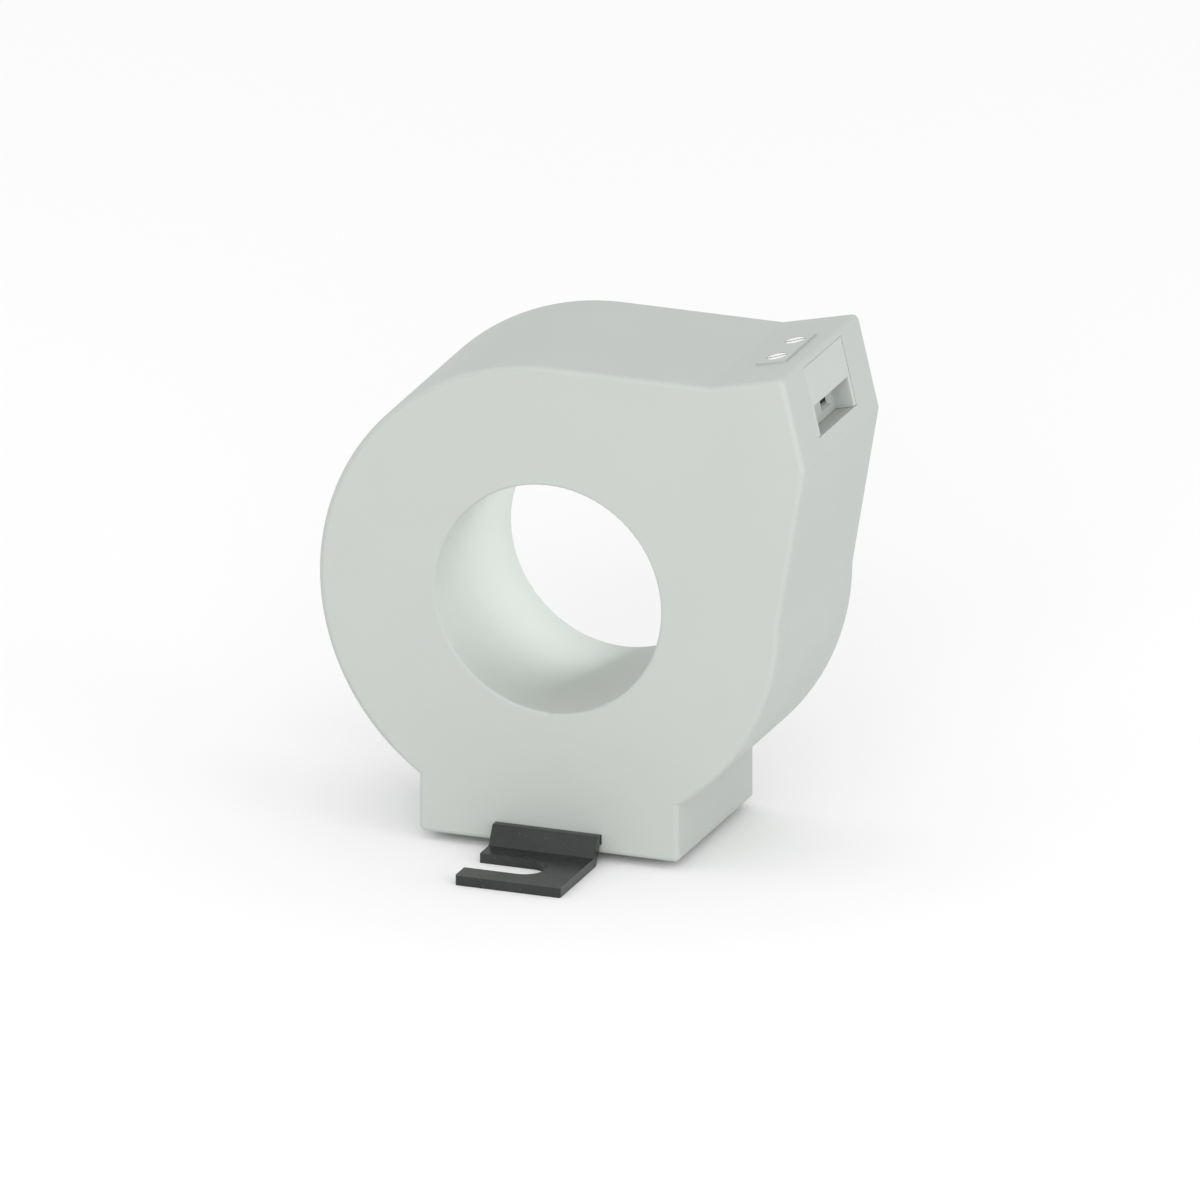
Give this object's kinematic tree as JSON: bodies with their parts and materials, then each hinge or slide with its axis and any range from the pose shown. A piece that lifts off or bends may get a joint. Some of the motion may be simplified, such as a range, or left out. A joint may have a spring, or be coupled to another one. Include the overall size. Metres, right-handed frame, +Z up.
{
  "type": "current transformer",
  "caption": "Ring-type current transformer: moulded housing with a round cable window, a screw terminal on a raised corner and folded sheet brackets under its foot.",
  "frame": {"origin": "centre of the cable bore at half the housing's depth", "axes": "+Y along the bore from the front wall to the rear cover, +Z up, +X towards the terminal corner"},
  "size_m": [0.0757, 0.065, 0.0779],
  "materials": {
    "housing_plastic": "finely eroded mould surface",
    "terminal_plastic": "smooth moulded",
    "screw_nickel": "nickel plated",
    "cage_steel": "zinc plated",
    "bar_brass": "tinned",
    "board_laminate": "glass laminate with solder mask",
    "diode_body": "moulded body with tinned wires",
    "core_strip": "edges of wound strip",
    "case_plastic": "moulded",
    "winding_copper": "enamelled wire",
    "wrap_film": "polyester tape",
    "shield_strip": "annealed sheet",
    "cushion_foam": "closed-cell foam",
    "lead_insulation": "smooth insulation",
    "bracket_steel": "dark passivated sheet"
  },
  "bodies": {
    "housing": {"housing_shell": "housing_plastic", "rear_cover": "housing_plastic", "terminal_block": "terminal_plastic", "current_bar_1": "bar_brass", "current_bar_2": "bar_brass", "circuit_board": "board_laminate", "suppressor_diode_1": "diode_body", "suppressor_diode_2": "diode_body", "toroidal_core": "core_strip", "core_case_base": "case_plastic", "core_case_lid": "case_plastic", "secondary_winding": "winding_copper", "winding_wrap": "wrap_film", "shield_ring": "shield_strip", "front_cushion": "cushion_foam", "rear_cushion": "cushion_foam", "lead_wire_1": "lead_insulation", "lead_wire_2": "lead_insulation", "front_bracket": "bracket_steel", "rear_bracket": "bracket_steel"},
    "screw_1": {"terminal_screw_1": "screw_nickel"},
    "screw_2": {"terminal_screw_2": "screw_nickel"},
    "cage_1": {"clamp_cage_1": "cage_steel"},
    "cage_2": {"clamp_cage_2": "cage_steel"}
  },
  "joints": [
    {"name": "screw_1_turn", "type": "hinge", "parent": "housing", "child": "screw_1", "pos_m": [0.03125, -0.00375, 0.03728], "axis": [0.23, 0, -0.9732], "range_deg": [0, 1800]},
    {"name": "screw_2_turn", "type": "hinge", "parent": "housing", "child": "screw_2", "pos_m": [0.03125, 0.00375, 0.03728], "axis": [0.23, 0, -0.9732], "range_deg": [0, 1800]},
    {"name": "cage_1_rise", "type": "slide", "parent": "housing", "child": "cage_1", "axis": [-0.23, 0, 0.9732], "range_m": [0, 0.00225]},
    {"name": "cage_2_rise", "type": "slide", "parent": "housing", "child": "cage_2", "axis": [-0.23, 0, 0.9732], "range_m": [0, 0.00225]}
  ],
  "couplings": [
    {"joint": "screw_1_turn", "follows": "cage_1_rise", "rad_per_m": 13963},
    {"joint": "screw_2_turn", "follows": "cage_2_rise", "rad_per_m": 13963}
  ]
}
